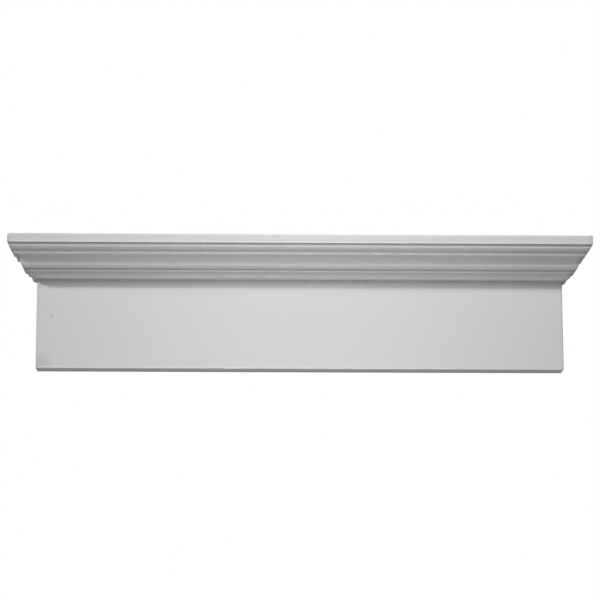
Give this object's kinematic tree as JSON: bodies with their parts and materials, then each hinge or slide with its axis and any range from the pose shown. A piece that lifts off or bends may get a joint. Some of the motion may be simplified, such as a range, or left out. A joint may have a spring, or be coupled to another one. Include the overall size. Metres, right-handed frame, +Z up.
{
  "type": "door pediment",
  "caption": "Flat door pediment: a plain frieze board under a mitred crown cornice that returns to the wall at both ends, cast in one piece with a flat back.",
  "frame": {"origin": "middle of the flat back, which is fixed against the wall", "axes": "+X along the wall, +Y into the wall, so the cornice projects towards -Y, and +Z up"},
  "size_m": [1.2092, 0.1006, 0.2724],
  "materials": {
    "primed_foam": "matte white primer sprayed on moulded rigid polyurethane foam"
  },
  "bodies": {
    "root": {"pediment": "primed_foam"}
  },
  "joints": []
}
